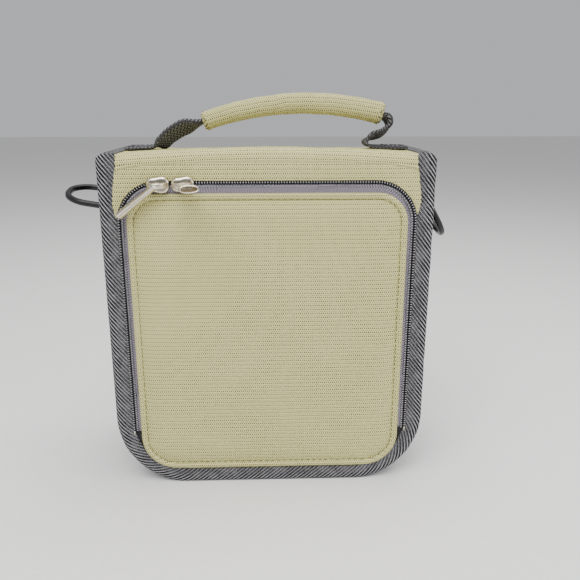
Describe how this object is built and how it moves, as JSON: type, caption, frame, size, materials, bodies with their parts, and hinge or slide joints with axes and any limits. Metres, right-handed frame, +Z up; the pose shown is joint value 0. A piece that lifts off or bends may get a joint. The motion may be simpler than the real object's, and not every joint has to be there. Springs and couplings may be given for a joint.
{
  "type": "camera bag",
  "caption": "Compact padded camera bag with a zipped fold-down front door, a rolled top handle and side rings for a shoulder strap.",
  "frame": {"origin": "middle of the flat base that the bag stands on", "axes": "+X to the right seen from the front, -Y out of the zipped front, +Z up"},
  "size_m": [0.201, 0.0994, 0.203],
  "materials": {
    "canvas": "woven olive canvas, matt",
    "black_cloth": "black woven nylon, matt",
    "binding": "charcoal ribbed twill tape",
    "foam": "closed-cell foam sheet",
    "lining": "brushed tricot lining",
    "board": "stiff sheet, matt",
    "hook_loop": "hook and loop pile",
    "zip_tape": "herringbone woven tape",
    "zip_teeth": "moulded nylon coil, satin",
    "nickel": "bright nickel plating, worn",
    "webbing": "woven black webbing",
    "thread_black": "sewing thread",
    "thread_olive": "sewing thread",
    "ring_plastic": "moulded plastic, satin"
  },
  "bodies": {
    "bag": {"canvas_wrap": "canvas", "gusset": "black_cloth", "front_binding": "binding", "back_binding": "binding", "top_binding_left": "binding", "top_binding_right": "binding", "foam_gusset": "foam", "foam_back": "foam", "foam_top": "foam", "lining": "lining", "base_board": "board", "divider": "lining", "divider_hook_strips": "hook_loop", "lining_loop_strips": "hook_loop", "hinge_flap": "canvas", "zip_tape_frame": "zip_tape", "zip_coil_frame": "zip_teeth", "zip_stops": "nickel", "handle_anchor_left": "webbing", "handle_anchor_right": "webbing", "anchor_stitching": "thread_black", "ring_tab_left": "webbing", "ring_tab_right": "webbing", "tab_bartacks": "thread_black"},
    "door": {"door_panel": "canvas", "door_foam": "foam", "door_lining": "lining", "zip_tape_door": "zip_tape", "zip_coil_door": "zip_teeth", "door_topstitch": "thread_olive"},
    "slider_left": {"slider_left_body": "nickel", "slider_left_bridge": "nickel"},
    "slider_right": {"slider_right_body": "nickel", "slider_right_bridge": "nickel"},
    "pull_left": {"pull_left": "nickel"},
    "pull_right": {"pull_right": "nickel"},
    "handle": {"handle_webbing": "webbing", "grip_core": "foam", "grip_cover": "canvas", "grip_stitching": "thread_olive"},
    "ring_left": {"ring_left": "ring_plastic"},
    "ring_right": {"ring_right": "ring_plastic"}
  },
  "joints": [
    {"name": "door_hinge", "type": "hinge", "parent": "bag", "child": "door", "pos_m": [0, -0.0372, 0.008], "axis": [1, 0, 0], "range_deg": [0, 90]},
    {"name": "slider_left_turn", "type": "hinge", "parent": "door", "child": "slider_left", "pos_m": [-0.052, -0.036, 0.1413], "axis": [0, -1, 0], "range_deg": [0, 90]},
    {"name": "slider_right_slide", "type": "slide", "parent": "door", "child": "slider_right", "axis": [1, 0, 0], "range_m": [0, 0.088]},
    {"name": "pull_left_swing", "type": "hinge", "parent": "slider_left", "child": "pull_left", "pos_m": [-0.0553, -0.0405, 0.1603], "axis": [0, 1, 0], "range_deg": [-52, 30]},
    {"name": "pull_right_swing", "type": "hinge", "parent": "slider_right", "child": "pull_right", "pos_m": [-0.0402, -0.0422, 0.1603], "axis": [1, 0, 0], "range_deg": [-75, 88]},
    {"name": "handle_tilt", "type": "hinge", "parent": "bag", "child": "handle", "pos_m": [0, 0, 0.1813], "axis": [1, 0, 0], "range_deg": [-60, 60]},
    {"name": "ring_left_swing", "type": "hinge", "parent": "bag", "child": "ring_left", "pos_m": [-0.0826, 0, 0.149], "axis": [0, 0.9816, 0.1908], "range_deg": [-95, 70]},
    {"name": "ring_right_swing", "type": "hinge", "parent": "bag", "child": "ring_right", "pos_m": [0.0826, 0, 0.149], "axis": [0, 1, 0], "range_deg": [-140, 25]}
  ]
}
